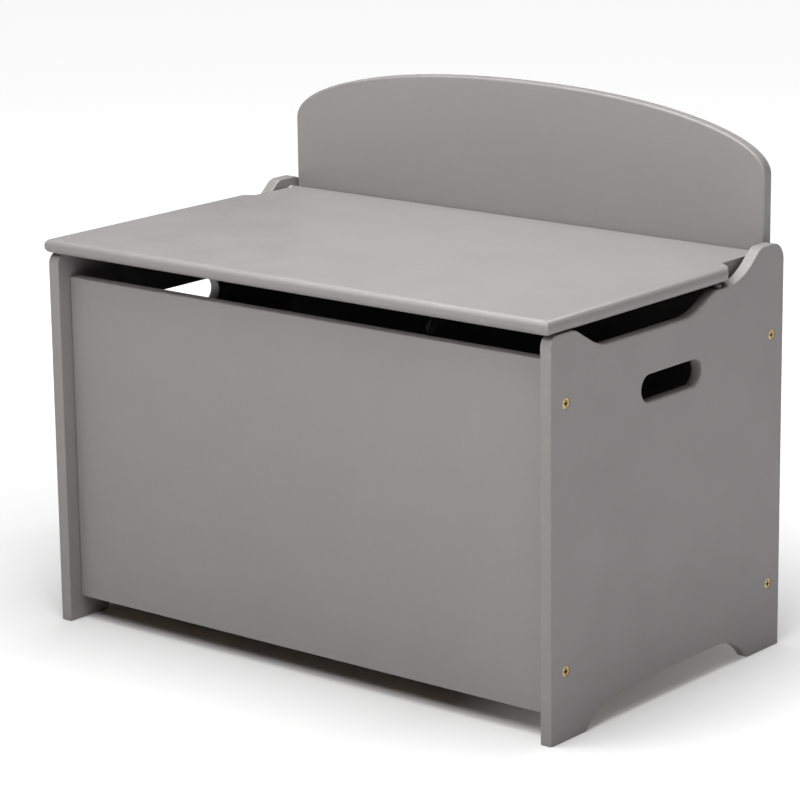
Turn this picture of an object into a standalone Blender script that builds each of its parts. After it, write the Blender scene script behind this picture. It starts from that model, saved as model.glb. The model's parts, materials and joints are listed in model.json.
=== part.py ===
"""Wooden toy box with a pivoting lid, a low backrest and a slow-close lid stay.

Metres, +Z up. +X is the box's right side seen from the front, -Y is the front.
The origin is on the floor, at the middle of the box's overall width and depth.
"""
import math

import bmesh
import bpy
from mathutils import Matrix, Vector

MM = 0.001

# Driving dimensions
WIDTH = 610 * MM                # over the outer faces of the side panels
DEPTH = 366.6 * MM              # a side panel, front edge to rear edge
BOARD = 12.7 * MM               # thickness of every board but the lid and the bottom
GAP = 0.3 * MM                  # between pieces that touch
BOARD_EDGE = 1.5 * MM           # eased edge of the side, front and back boards

# Side panel outline, heights above the floor
FRONT_TOP = 374.0 * MM          # flat behind the front corner
DIP_FLOOR = 352.1 * MM          # floor of the finger dip
REAR_TOP = 370.0 * MM           # short flat behind the dip
EAR_TOP = 397.8 * MM            # raised rear ear beside the lid's pivot
FRONT_CORNER = 11 * MM          # corner radii of the outline
EAR_CORNER = 17 * MM
DIP_START = 30.3 * MM           # from the panel's front edge to the end of the front flat
DIP_END_START = 203.6 * MM      # from the front edge to the start of the rise out of the dip
EAR_START = 269.0 * MM          # from the front edge to the start of the ear's rise
ARCH_HALF = 131 * MM            # foot arch, half width at the floor
ARCH_HEIGHT = 25.2 * MM
ARCH_RADIUS = 68 * MM

# Top edge's curves, each from one level to the next: slope, first and last radius
DIP_DOWN = (30, 20 * MM, 60 * MM)
DIP_UP = (26, 60 * MM, 20 * MM)
EAR_UP = (42, 70 * MM, 17 * MM)

# Handle slot
SLOT_LENGTH = 95.5 * MM
SLOT_HEIGHT = 26 * MM
SLOT_Z = 299 * MM

# Front, back and bottom boards
FRONT_RECESS = 15.5 * MM        # front panel's face behind the side panels' front edges
PANEL_BOTTOM = 23.0 * MM
FRONT_PANEL_TOP = 349.0 * MM
BACK_PANEL_TOP = 351.7 * MM
BOTTOM_THICKNESS = 6.35 * MM
CLEAT = 15 * MM
CLEAT_Z = 29 * MM

# Lid and its pivot
LID_TOP = 388.4 * MM
LID_THICKNESS = 14 * MM
LID_HALF = 305 * MM             # half its width, flush with the side panels
LID_FRONT_OVERHANG = 4.5 * MM
LID_EDGE = 6.2 * MM             # roundover, nearly a full bullnose
LID_SIDE_CLEARANCE = 3.55 * MM  # lid's narrow rear part to a side panel's inner face
LID_NOTCH_DEPTH = 66 * MM       # lid's rear edge to the notch
LID_SWEEP = 58 * MM             # radius of the wide part's cut rear corners
LID_SWEEP_START = 62            # degrees, where that curve leaves the notch
LID_REAR_EDGE = 2.5 * MM        # radius of the lid's rear edge
LID_BACK_CLEARANCE = 2.3 * MM   # lid's rear edge to the backrest
PIVOT_FROM_BACKREST = 7.85 * MM
PIVOT_BELOW_TOP = 6.35 * MM
BUMPER_RADIUS = 3.5 * MM        # pads on the side panels, under the lid
BUMPER_PLACE = 264 * MM         # from the panel's front edge
PIN_RADIUS = 3 * MM
PIN_IN_LID = 17.5 * MM
BUSH_RADIUS = 4.5 * MM
BUSH_DEPTH = 9.4 * MM
BUSH_FLANGE = 7 * MM
BUSH_FLANGE_THICKNESS = 1 * MM

# Backrest
BACKREST_HALF = 290.3 * MM      # half its width
BACKREST_INSET = 0.1 * MM       # its rear face to the side panels' rear edges
BACKREST_BOTTOM = 262 * MM
BACKREST_SHOULDER = 459.5 * MM  # top of the straight sides
BACKREST_TOP = 524 * MM
BACKREST_POWER = 2.1            # superellipse exponent of the arched top
BACKREST_EDGE = 2.5 * MM

# Fasteners
BOLT_HEIGHTS = (65.6 * MM, 311.1 * MM)
BOLT_LENGTH = 42 * MM
BOLT_RADIUS = 3 * MM
BOLT_HEAD = 5.2 * MM
BOLT_SUNK = 0.4 * MM
NUT_FROM_FACE = 35 * MM
NUT_RADIUS = 5 * MM
NUT_LENGTH = 9.5 * MM
DOWEL_HEIGHTS = (130 * MM, 245 * MM)
DOWEL_RADIUS = 4 * MM
DOWEL_IN_SIDE = 9 * MM
DOWEL_IN_PANEL = 19 * MM
BACKREST_SCREWS = ((-220 * MM, 285 * MM), (220 * MM, 285 * MM),
                   (-220 * MM, 330 * MM), (220 * MM, 330 * MM))

# Lid stay: a parallelogram of the lid, an arm on the back panel and a link.
# Points are (y, z); the arm's crank is equal and parallel to the lid's.
STAY_CRANK = (-98.9 * MM, -18.3 * MM)
STAY_LINK = (33.9 * MM, 64.0 * MM)    # elbow to the pivot on the lid's bracket
STAY_PLATE = 2 * MM
STAY_END = 7 * MM                     # end radius of the arm and the link
STAY_ROOT_END = 9 * MM                # end radius of the arm and the bracket at the damper
STAY_KEY = 3 * MM                     # half the square that turns the damper's rotor
LID_BRACKET_HALF = 19 * MM
LID_BRACKET_REACH = 20 * MM
LID_BRACKET_SCREWS = 13 * MM          # from the stay's pivot, along the bracket
LID_BRACKET_SCREW_X = 12 * MM
LID_EAR_SHOULDER = 12 * MM
WALL_BRACKET_HALF = 33 * MM
WALL_BRACKET_SCREWS = 26 * MM         # from the damper's axis, up and down
WALL_EAR_FOOT = 17 * MM
SHAFT_HOLE = 4.6 * MM
STAY_RIVET = 2.5 * MM
DAMPER_RADIUS = 16 * MM
DAMPER_WIDTH = 14 * MM
DAMPER_WALL = 3 * MM

# Places worked out from the driving dimensions
HALF = WIDTH / 2
INNER = HALF - BOARD
SIDE_MID_Y = LID_FRONT_OVERHANG / 2
SIDE_FRONT = SIDE_MID_Y - DEPTH / 2
SIDE_REAR = SIDE_MID_Y + DEPTH / 2
FRONT_MID = SIDE_FRONT + FRONT_RECESS + BOARD / 2
BACKREST_MID = SIDE_REAR - BACKREST_INSET - BOARD / 2
BACKREST_FACE = BACKREST_MID - BOARD / 2
BACK_MID = BACKREST_FACE - GAP - BOARD / 2
INSIDE_FRONT = FRONT_MID + BOARD / 2
INSIDE_BACK = BACK_MID - BOARD / 2
LID_UNDERSIDE = LID_TOP - LID_THICKNESS
LID_MID_Z = LID_TOP - LID_THICKNESS / 2
LID_REAR = BACKREST_FACE - LID_BACK_CLEARANCE
LID_FRONT = SIDE_FRONT - LID_FRONT_OVERHANG
LID_NARROW = INNER - LID_SIDE_CLEARANCE
PIVOT = (BACKREST_FACE - PIVOT_FROM_BACKREST, LID_TOP - PIVOT_BELOW_TOP)
LID_JOINT = (PIVOT[0] + STAY_CRANK[0], PIVOT[1] + STAY_CRANK[1])
ELBOW = (LID_JOINT[0] - STAY_LINK[0], LID_JOINT[1] - STAY_LINK[1])
ARM_ROOT = (ELBOW[0] - STAY_CRANK[0], ELBOW[1] - STAY_CRANK[1])

# Planes that outlines are drawn in: local x, y and the thickness direction
SIDE_PLANE = Matrix(((0, 0, 1), (1, 0, 0), (0, 1, 0))).to_4x4()
BACK_PLANE = Matrix(((1, 0, 0), (0, 0, -1), (0, 1, 0))).to_4x4()
LEVEL_PLANE = Matrix.Identity(4)

# Turning axes: local +Z points along the named direction
AXIS = {
    "+X": Matrix.Rotation(math.pi / 2, 4, "Y"),
    "-X": Matrix.Rotation(-math.pi / 2, 4, "Y"),
    "+Y": Matrix.Rotation(-math.pi / 2, 4, "X"),
    "-Y": Matrix.Rotation(math.pi / 2, 4, "X"),
    "+Z": Matrix.Identity(4),
    "-Z": Matrix.Rotation(math.pi, 4, "X"),
}

# Name: colour, roughness, metallic
FINISHES = {
    "grey_paint": ((0.230, 0.219, 0.2165), 0.45, 0.0),
    "bare_wood": ((0.52, 0.38, 0.24), 0.7, 0.0),
    "brass_plate": ((0.72, 0.58, 0.30), 0.35, 1.0),
    "steel": ((0.60, 0.60, 0.60), 0.35, 1.0),
    "black_nylon": ((0.03, 0.03, 0.03), 0.5, 0.0),
    "white_nylon": ((0.80, 0.80, 0.77), 0.45, 0.0),
    "dark_rubber": ((0.10, 0.10, 0.098), 0.45, 0.0),
}


def new_collection(name):
    group = bpy.data.collections.new(name)
    bpy.context.scene.collection.children.link(group)
    return group


for old in list(bpy.data.objects):
    bpy.data.objects.remove(old, do_unlink=True)
PARTS = new_collection("toy_box")
CUTTERS = new_collection("cutters")
HINGES = {}


def finish_material(node, finish):
    """A material of the node's own, in one of the finishes."""
    colour, roughness, metallic = FINISHES[finish]
    mat = bpy.data.materials.new(node + "_" + finish)
    mat.use_nodes = True
    shader = mat.node_tree.nodes["Principled BSDF"]
    shader.inputs["Base Color"].default_value = (*colour, 1)
    shader.inputs["Roughness"].default_value = roughness
    shader.inputs["Metallic"].default_value = metallic
    return mat


def place(mesh, name, matrix, finish):
    """Link a mesh as a part, or as a hidden cutter when it has no finish."""
    obj = bpy.data.objects.new(name, mesh)
    obj.matrix_world = matrix
    if finish:
        PARTS.objects.link(obj)
        mesh.materials.clear()
        mesh.materials.append(finish_material(name, finish))
    else:
        CUTTERS.objects.link(obj)
        obj.hide_render = True
        obj.display_type = "WIRE"
    return obj


def modify(obj, operation, tool):
    """Cut or join another closed mesh with an exact Boolean."""
    mod = obj.modifiers.new(tool.name, "BOOLEAN")
    mod.operation = operation
    mod.solver = "EXACT"
    mod.object = tool


def outline(name, loops, thickness, plane, middle, edge=0.0, finish=None, steps=1):
    """A flat board or plate from closed outlines, with rounded edges all round.

    The first loop runs anticlockwise and the others, its holes, clockwise.
    """
    curve = bpy.data.curves.new(name + "_outline", "CURVE")
    curve.dimensions = "2D"
    curve.fill_mode = "BOTH"
    curve.extrude = thickness / 2 - edge
    curve.bevel_depth = edge
    curve.bevel_resolution = steps
    curve.offset = -edge
    for points in loops:
        spline = curve.splines.new("POLY")
        spline.points.add(len(points) - 1)
        for slot, (px, py) in zip(spline.points, points):
            slot.co = (px, py, 0, 1)
        spline.use_cyclic_u = True
    guide = bpy.data.objects.new(name + "_outline", curve)
    CUTTERS.objects.link(guide)
    guide.matrix_world = Matrix.Translation(middle) @ plane
    graph = bpy.context.evaluated_depsgraph_get()
    mesh = bpy.data.meshes.new_from_object(guide.evaluated_get(graph))
    weld = bmesh.new()
    weld.from_mesh(mesh)
    bmesh.ops.remove_doubles(weld, verts=weld.verts, dist=0.00001)
    bmesh.ops.recalc_face_normals(weld, faces=weld.faces)
    weld.to_mesh(mesh)
    weld.free()
    if edge:
        mesh.shade_smooth()
        mesh.set_sharp_from_angle(angle=math.radians(40))
    obj = place(mesh, name, guide.matrix_world.copy(), finish)
    bpy.data.objects.remove(guide, do_unlink=True)
    return obj


def board(name, low, high, edge, finish):
    """A rectangular board between two corners, with its edges eased."""
    low, high = Vector(low), Vector(high)
    shape = bmesh.new()
    bmesh.ops.create_cube(shape, size=1.0)
    bmesh.ops.scale(shape, vec=high - low, verts=shape.verts)
    mesh = bpy.data.meshes.new(name)
    shape.to_mesh(mesh)
    shape.free()
    obj = place(mesh, name, Matrix.Translation((low + high) / 2), finish)
    if edge:
        bevel = obj.modifiers.new("eased_edge", "BEVEL")
        bevel.width = edge
        bevel.segments = 2
    return obj


def turned(name, profile, axis, middle, finish=None, segments=12, ring=False):
    """A turned piece: (radius, height) pairs run down its outer side.

    A ring's profile closes on itself; any other starts and ends on the axis.
    """
    mesh = bpy.data.meshes.new(name)
    count = len(profile)
    edges = [(i, (i + 1) % count) for i in range(count if ring else count - 1)]
    mesh.from_pydata([(r, 0, h) for r, h in profile], edges, [])
    obj = place(mesh, name, Matrix.Translation(middle) @ AXIS[axis], finish)
    screw = obj.modifiers.new("turn", "SCREW")
    screw.axis = "Z"
    screw.steps = segments
    screw.render_steps = segments
    screw.use_merge_vertices = True
    screw.merge_threshold = 0.00001
    screw.use_smooth_shade = False
    return obj


def arc(centre, radius, start, end, count):
    """Points along an arc, angles in degrees."""
    angles = [math.radians(start + (end - start) * i / count) for i in range(count + 1)]
    return [(centre[0] + radius * math.cos(a), centre[1] + radius * math.sin(a)) for a in angles]


def stadium(centre, length, height, count=8):
    """A slot with round ends, anticlockwise."""
    reach = length / 2 - height / 2
    right = arc((centre[0] + reach, centre[1]), height / 2, -90, 90, count)
    left = arc((centre[0] - reach, centre[1]), height / 2, 90, 270, count)
    return right + left


def ogee(start, end, slope, first, last, count=5):
    """An S from one level to another: arc, straight run at the slope, arc.

    It runs towards +x. The first and last radii belong to the two arcs.
    """
    rise = end[1] - start[1]
    sign = 1 if rise > 0 else -1
    turn = [math.radians(slope * i / count) for i in range(count + 1)]
    lower = [(start[0] + first * math.sin(a), start[1] + sign * first * (1 - math.cos(a)))
             for a in turn]
    upper = [(end[0] - last * math.sin(a), end[1] - sign * last * (1 - math.cos(a)))
             for a in reversed(turn)]
    return lower + upper


def ogee_run(rise, slope, first, last):
    """Horizontal length of an ogee with that rise."""
    angle = math.radians(slope)
    arcs = (first + last) * math.sin(angle)
    straight = abs(rise) - (first + last) * (1 - math.cos(angle))
    return arcs + straight / math.tan(angle)


def side_outline():
    """A side panel in (y, z), anticlockwise from the front foot."""
    front, rear = SIDE_FRONT, SIDE_REAR
    run = math.sqrt(ARCH_RADIUS ** 2 - (ARCH_RADIUS - ARCH_HEIGHT) ** 2)
    sweep = math.degrees(math.asin(run / ARCH_RADIUS))
    crown = ARCH_HEIGHT - ARCH_RADIUS
    reach = ARCH_HALF - run
    points = [(front, 0)]
    points += arc((SIDE_MID_Y - reach, crown), ARCH_RADIUS, 90 + sweep, 90, 7)
    points += arc((SIDE_MID_Y + reach, crown), ARCH_RADIUS, 90, 90 - sweep, 7)
    points.append((rear, 0))
    points += arc((rear - EAR_CORNER, EAR_TOP - EAR_CORNER), EAR_CORNER, 0, 90, 6)
    top = []
    for start, level, end_level, shape in ((DIP_START, FRONT_TOP, DIP_FLOOR, DIP_DOWN),
                                           (DIP_END_START, DIP_FLOOR, REAR_TOP, DIP_UP),
                                           (EAR_START, REAR_TOP, EAR_TOP, EAR_UP)):
        run = ogee_run(end_level - level, *shape)
        top += ogee((front + start, level), (front + start + run, end_level), *shape)
    points += reversed(top)
    points += arc((front + FRONT_CORNER, FRONT_TOP - FRONT_CORNER), FRONT_CORNER, 90, 180, 6)
    return points


def lid_cutters():
    """Cutters for the lid's rear corners, beside the ears, and for its rear edge.

    They shape a rectangular blank that is longer and rounded all round, so the
    corners' cut faces and the narrow part's sides stay square to the lid's faces.
    """
    half, notch = LID_HALF, LID_REAR - LID_NOTCH_DEPTH
    over = 20 * MM
    start = math.radians(LID_SWEEP_START)
    centre = (LID_NARROW - LID_SWEEP * math.cos(start), notch - LID_SWEEP * math.sin(start))
    end = math.degrees(math.acos((half + 1 * MM - centre[0]) / LID_SWEEP))
    sweep = arc(centre, LID_SWEEP, LID_SWEEP_START, end, 6)
    right = [*reversed(sweep), (LID_NARROW, LID_REAR + over), (half + over, LID_REAR + over),
             (half + over, sweep[-1][1])]
    right.reverse()
    left = [(-x, y) for x, y in reversed(right)]
    tools = [outline(name, [points], LID_THICKNESS + over, LEVEL_PLANE, (0, 0, LID_MID_Z))
             for name, points in (("lid_corner_right", right), ("lid_corner_left", left))]

    low, high = LID_UNDERSIDE, LID_TOP
    inset = LID_REAR - LID_REAR_EDGE
    lower = arc((inset, low + LID_REAR_EDGE), LID_REAR_EDGE, 0, -90, 4)
    upper = arc((inset, high - LID_REAR_EDGE), LID_REAR_EDGE, 90, 0, 4)
    lower.append(beyond(lower[-2], lower[-1]))
    upper.insert(0, beyond(upper[1], upper[0]))
    section = upper + lower + [(LID_REAR + over, lower[-1][1]), (LID_REAR + over, upper[0][1])]
    tools.append(outline("lid_rear_edge", [section], WIDTH + over, SIDE_PLANE, (0, 0, 0)))
    return tools


def beyond(first, last):
    """The point past last by the distance between the two."""
    return (2 * last[0] - first[0], 2 * last[1] - first[1])


def backrest_outline():
    """The backrest in (x, z): straight sides under a superellipse."""
    half = BACKREST_HALF
    rise = BACKREST_TOP - BACKREST_SHOULDER
    count = 48
    points = [(-half, BACKREST_BOTTOM), (half, BACKREST_BOTTOM)]
    for i in range(count + 1):
        angle = math.pi * i / count
        across = abs(math.cos(angle)) ** (2 / BACKREST_POWER)
        up = math.sin(angle) ** (2 / BACKREST_POWER)
        x = math.copysign(half * across, math.cos(angle))
        points.append((x, BACKREST_SHOULDER + rise * up))
    return points


def tapered_plate(first, second, radius_first, radius_second, count=8):
    """Outline of a flat lever between two round ends, anticlockwise."""
    along = Vector(second) - Vector(first)
    heading = math.degrees(math.atan2(along.y, along.x))
    lean = math.degrees(math.asin((radius_first - radius_second) / along.length))
    far = arc(second, radius_second, heading - 90 + lean, heading + 90 - lean, count)
    near = arc(first, radius_first, heading + 90 - lean, heading + 270 + lean, count)
    return far + near


def hole(centre, radius, count=12):
    """A round hole's outline, clockwise."""
    return arc(centre, radius, 360, 360 / count, count - 1)


def drill(name, radius, depth, axis, mouth, segments=12):
    """A cutter for a round hole, from its mouth inwards against the axis."""
    over = 1 * MM
    profile = [(0, over), (radius, over), (radius, -depth), (0, -depth)]
    return turned(name, profile, axis, mouth, segments=segments)


def countersunk(radius, head, head_depth, length, grow=0.0):
    """Profile of a countersunk screw from its head's face, or of its hole when it grows."""
    land = 0.6 * MM
    tip = 0.8 * MM
    profile = [(0, 0), (head + grow, 0), (head + grow, -land - grow / 2),
               (radius + grow, -head_depth - grow / 2)]
    if grow:
        over = 1 * MM
        profile[0] = (0, over)
        profile[1] = (head + grow, over)
        return profile + [(radius + grow, -length - grow * 4), (0, -length - grow * 4)]
    return profile + [(radius, -length + tip), (radius - tip, -length), (0, -length)]


def cross_recess(name, axis, middle, size, depth):
    """A cutter in the shape of a cross, sunk into a screw's head."""
    tip, root = size * 0.24, size * 0.32
    points = []
    for turn in range(4):
        spin = Matrix.Rotation(turn * math.pi / 2, 2)
        points += [tuple(spin @ Vector(p)) for p in ((size, -tip), (size, tip), (root, root))]
    over = 1 * MM
    shift = Matrix.Translation((0, 0, (over - depth) / 2))
    tool = outline(name, [points], depth + over, LEVEL_PLANE, (0, 0, 0))
    tool.matrix_world = Matrix.Translation(middle) @ AXIS[axis] @ shift
    return tool


def screw_with_recess(name, profile, axis, middle, finish, recess, depth):
    screw = turned(name, profile, axis, middle, finish)
    modify(screw, "DIFFERENCE", cross_recess(name + "_recess", axis, middle, recess, depth))
    return screw


def make_side_panels():
    loops = [side_outline(),
             list(reversed(stadium((SIDE_MID_Y, SLOT_Z), SLOT_LENGTH, SLOT_HEIGHT)))]
    sides = {}
    for side, sign in (("left", -1), ("right", 1)):
        middle = (sign * (HALF - BOARD / 2), 0, 0)
        sides[side] = outline(side + "_side_panel", loops, BOARD, SIDE_PLANE, middle,
                              BOARD_EDGE, "grey_paint")
    return sides


def make_carcass_boards():
    reach = INNER - GAP
    panels = {}
    for name, middle, high in (("front_panel", FRONT_MID, FRONT_PANEL_TOP),
                               ("back_panel", BACK_MID, BACK_PANEL_TOP)):
        panels[name] = board(name, (-reach, middle - BOARD / 2, PANEL_BOTTOM),
                             (reach, middle + BOARD / 2, high), BOARD_EDGE, "grey_paint")
    front, back = INSIDE_FRONT + GAP, INSIDE_BACK - GAP
    top = CLEAT_Z + CLEAT
    board("bottom_panel", (-reach, front, top + GAP),
          (reach, back, top + GAP + BOTTOM_THICKNESS), 0.5 * MM, "grey_paint")
    for side, sign in (("left", -1), ("right", 1)):
        edges = sorted((sign * reach, sign * (reach - CLEAT)))
        board(side + "_cleat", (edges[0], front, CLEAT_Z), (edges[1], back, top),
              0.8 * MM, "bare_wood")
    inner = reach - CLEAT - GAP
    board("front_cleat", (-inner, front, CLEAT_Z), (inner, front + CLEAT, top),
          0.8 * MM, "bare_wood")
    board("back_cleat", (-inner, back - CLEAT, CLEAT_Z), (inner, back, top),
          0.8 * MM, "bare_wood")
    return panels


def make_corner_joints(sides, panels):
    """Bolts, barrel nuts and dowels between the side panels and the front and back."""
    head_depth = 2.8 * MM
    number = 0
    for side, sign in (("left", -1), ("right", 1)):
        axis = "+X" if sign > 0 else "-X"
        for panel, middle, inward in (("front_panel", FRONT_MID, "+Y"),
                                      ("back_panel", BACK_MID, "-Y")):
            face = middle + BOARD / 2 if inward == "+Y" else middle - BOARD / 2
            for row in (0, 1):
                number += 1
                height = BOLT_HEIGHTS[row]
                head = (sign * (HALF - BOLT_SUNK), middle, height)
                profile = countersunk(BOLT_RADIUS, BOLT_HEAD, head_depth, BOLT_LENGTH)
                screw_with_recess(f"side_bolt_{number}", profile, axis, head,
                                  "brass_plate", 2.9 * MM, 2 * MM)
                bore = countersunk(BOLT_RADIUS, BOLT_HEAD, head_depth, BOLT_LENGTH, GAP)
                bolt_hole = turned(f"bolt_hole_{number}", bore, axis, head)
                nut_x = sign * (HALF - NUT_FROM_FACE)
                half_nut = NUT_LENGTH / 2
                nut = turned(f"barrel_nut_{number}",
                             [(0, half_nut), (NUT_RADIUS, half_nut),
                              (NUT_RADIUS, -half_nut), (0, -half_nut)],
                             inward, (nut_x, middle, height), "brass_plate")
                nut_hole = drill(f"nut_hole_{number}", NUT_RADIUS + GAP,
                                 BOARD / 2 + half_nut + GAP, inward, (nut_x, face, height))
                modify(sides[side], "DIFFERENCE", bolt_hole)
                modify(panels[panel], "DIFFERENCE", bolt_hole)
                modify(panels[panel], "DIFFERENCE", nut_hole)
                modify(nut, "DIFFERENCE", bolt_hole)
                make_dowel(number, sign, axis, middle, DOWEL_HEIGHTS[row],
                           sides[side], panels[panel])


def make_dowel(number, sign, axis, y, z, side, panel):
    chamfer = 1 * MM
    out, deep = DOWEL_IN_SIDE, -DOWEL_IN_PANEL
    middle = (sign * INNER, y, z)
    radius = DOWEL_RADIUS
    turned(f"wood_dowel_{number}",
           [(0, out), (radius - chamfer, out), (radius, out - chamfer),
            (radius, deep + chamfer), (radius - chamfer, deep), (0, deep)],
           axis, middle, "bare_wood")
    bore = turned(f"dowel_hole_{number}",
                  [(0, out + GAP), (radius + GAP, out + GAP),
                   (radius + GAP, deep - GAP), (0, deep - GAP)], axis, middle)
    modify(side, "DIFFERENCE", bore)
    modify(panel, "DIFFERENCE", bore)


def make_backrest(panels):
    backrest = outline("backrest_panel", [backrest_outline()], BOARD, BACK_PLANE,
                       (0, BACKREST_MID, 0), BACKREST_EDGE, "grey_paint")
    head_depth = 2.2 * MM
    length = 22 * MM
    for number, (x, z) in enumerate(BACKREST_SCREWS, 1):
        head = (x, BACKREST_MID + BOARD / 2 - BOLT_SUNK, z)
        profile = countersunk(2 * MM, 4 * MM, head_depth, length)
        screw_with_recess(f"backrest_screw_{number}", profile, "+Y", head, "brass_plate",
                          2.2 * MM, 1.6 * MM)
        bore = countersunk(2 * MM, 4 * MM, head_depth, length, GAP)
        bore_cutter = turned(f"backrest_hole_{number}", bore, "+Y", head)
        modify(backrest, "DIFFERENCE", bore_cutter)
        modify(panels["back_panel"], "DIFFERENCE", bore_cutter)


def make_lid(sides):
    """The lid, its two pivot pins and the bushes that they turn in."""
    half, blank_rear = LID_HALF, LID_REAR + 2 * LID_EDGE
    blank = [(-half, LID_FRONT), (half, LID_FRONT), (half, blank_rear), (-half, blank_rear)]
    lid = outline("lid_panel", [blank], LID_THICKNESS, LEVEL_PLANE, (0, 0, LID_MID_Z),
                  LID_EDGE, "grey_paint", steps=3)
    for tool in lid_cutters():
        modify(lid, "DIFFERENCE", tool)
    hinge = bpy.data.objects.new("lid_hinge_axis", None)
    hinge.location = (0, *PIVOT)
    PARTS.objects.link(hinge)
    HINGES["lid"] = hinge
    for side, sign in (("left", -1), ("right", 1)):
        axis = "+X" if sign > 0 else "-X"
        end = (sign * LID_NARROW, *PIVOT)
        reach = LID_SIDE_CLEARANCE + BUSH_DEPTH - 1 * MM
        chamfer = 0.5 * MM
        turned(f"lid_pivot_pin_{side}",
               [(0, reach), (PIN_RADIUS - chamfer, reach), (PIN_RADIUS, reach - chamfer),
                (PIN_RADIUS, -PIN_IN_LID + chamfer), (PIN_RADIUS - chamfer, -PIN_IN_LID),
                (0, -PIN_IN_LID)], axis, end, "steel")
        modify(lid, "DIFFERENCE", drill(f"pin_hole_{side}", PIN_RADIUS + GAP,
                                        PIN_IN_LID + GAP, axis, end))
        face = (sign * INNER, *PIVOT)
        inner, outer, flange = PIN_RADIUS + GAP, BUSH_RADIUS, BUSH_FLANGE
        lip = BUSH_FLANGE_THICKNESS + GAP
        turned(f"pivot_bush_{side}",
               [(inner, BUSH_DEPTH), (outer, BUSH_DEPTH), (outer, -GAP), (flange, -GAP),
                (flange, -lip), (inner, -lip)], axis, face, "white_nylon", ring=True)
        inward = "-X" if sign > 0 else "+X"
        modify(sides[side], "DIFFERENCE", drill(f"bush_hole_{side}", BUSH_RADIUS + GAP,
                                                BUSH_DEPTH + GAP, inward, face))
    return lid


def make_bumpers():
    """A soft pad on each side panel's top edge, behind the dip and under the lid."""
    height = LID_UNDERSIDE - REAR_TOP - 2 * GAP
    crown = 0.3 * MM
    for number, sign in ((1, -1), (2, 1)):
        turned(f"lid_bumper_{number}",
               [(0, height), (BUMPER_RADIUS - crown, height), (BUMPER_RADIUS, height - crown),
                (BUMPER_RADIUS, 0), (0, 0)], "+Z",
               (sign * (HALF - BOARD / 2), SIDE_FRONT + BUMPER_PLACE, REAR_TOP + GAP),
               "dark_rubber")


def plate(name, loops, x_low, finish=None):
    """A flat stay plate in the (y, z) plane, from x_low upwards in x."""
    middle = (x_low + STAY_PLATE / 2, 0, 0)
    return outline(name, loops, STAY_PLATE, SIDE_PLANE, middle, finish=finish)


def rivet(name, x_low, x_high, point):
    """A domed rivet along X whose heads sit outside x_low and x_high."""
    head, crown = 4.5 * MM, 1.4 * MM
    middle = (x_low + x_high) / 2
    grip = (x_high - x_low) / 2 + GAP
    dome = [(head * math.cos(a), grip + crown * math.sin(a))
            for a in (math.radians(90 - 22.5 * i) for i in range(5))]
    dome[0] = (0, grip + crown)
    down = [(r, -h) for r, h in reversed(dome)]
    profile = dome + [(STAY_RIVET, grip), (STAY_RIVET, -grip)] + down
    return turned(name, profile, "+X", (middle, *point), "steel")


def pan_screw(name, axis, middle):
    """A pan-head wood screw; the point is under its head, against the plate."""
    head, thick, shank, length = 3.6 * MM, 2 * MM, 1.7 * MM, 11 * MM
    profile = [(0, thick), (head * 0.7, thick), (head, thick * 0.5), (head, 0), (shank, 0),
               (shank, -length + 2 * MM), (0.4 * MM, -length), (0, -length)]
    screw = turned(name, profile, axis, middle, "steel")
    top = Vector(middle) + AXIS[axis].to_3x3() @ Vector((0, 0, thick))
    modify(screw, "DIFFERENCE", cross_recess(name + "_recess", axis, top, 1.8 * MM, 1.2 * MM))
    bore = turned(name + "_hole", [(0, 0), (shank + GAP, 0), (shank + GAP, -length - GAP),
                                   (0, -length - GAP)], axis, middle)
    return bore


def make_stay(lid, panels):
    """The lid stay in the middle of the box, from the back panel to the lid."""
    arm_x = -STAY_PLATE / 2
    link_x = STAY_PLATE / 2 + GAP
    arm_far = arm_x + STAY_PLATE
    link_far = link_x + STAY_PLATE
    make_wall_bracket(panels, link_x, link_far, arm_x)
    make_damper(arm_x, link_far)

    side = STAY_KEY + GAP
    square = [(ARM_ROOT[0] + a * side, ARM_ROOT[1] + b * side)
              for a, b in ((-1, -1), (-1, 1), (1, 1), (1, -1))]
    arm = plate("stay_arm", [tapered_plate(ARM_ROOT, ELBOW, STAY_ROOT_END, STAY_END), square,
                             hole(ELBOW, STAY_RIVET + GAP)], arm_x, "steel")
    pivot_at(arm, "stay_arm_axis", ARM_ROOT)
    rivet("stay_elbow_rivet", arm_x, link_far, ELBOW)
    link = plate("stay_link", [tapered_plate(ELBOW, LID_JOINT, STAY_END, STAY_END),
                               hole(ELBOW, STAY_RIVET + 2 * GAP),
                               hole(LID_JOINT, STAY_RIVET + GAP)], link_x, "steel")
    pivot_at(link, "stay_link_axis", LID_JOINT)
    rivet("stay_lid_rivet", arm_x, link_far, LID_JOINT)

    top = LID_UNDERSIDE - GAP
    low, high = top - STAY_PLATE, top
    half = LID_BRACKET_HALF
    base = board("stay_lid_bracket", (arm_x, LID_JOINT[0] - half, low),
                 (LID_BRACKET_REACH, LID_JOINT[0] + half, high), 0, "steel")
    ear = [(LID_JOINT[0] + LID_EAR_SHOULDER, (low + high) / 2),
           (LID_JOINT[0] - LID_EAR_SHOULDER, (low + high) / 2)]
    ear += arc(LID_JOINT, STAY_END, 200, 340, 8)
    modify(base, "UNION", plate("lid_ear", [ear, hole(LID_JOINT, STAY_RIVET + GAP)],
                                arm_x))
    for number, dy in ((1, -LID_BRACKET_SCREWS), (2, LID_BRACKET_SCREWS)):
        bore = pan_screw(f"stay_lid_screw_{number}", "-Z",
                         (LID_BRACKET_SCREW_X, LID_JOINT[0] + dy, low - GAP))
        modify(base, "DIFFERENCE", bore)
        modify(lid, "DIFFERENCE", bore)


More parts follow.
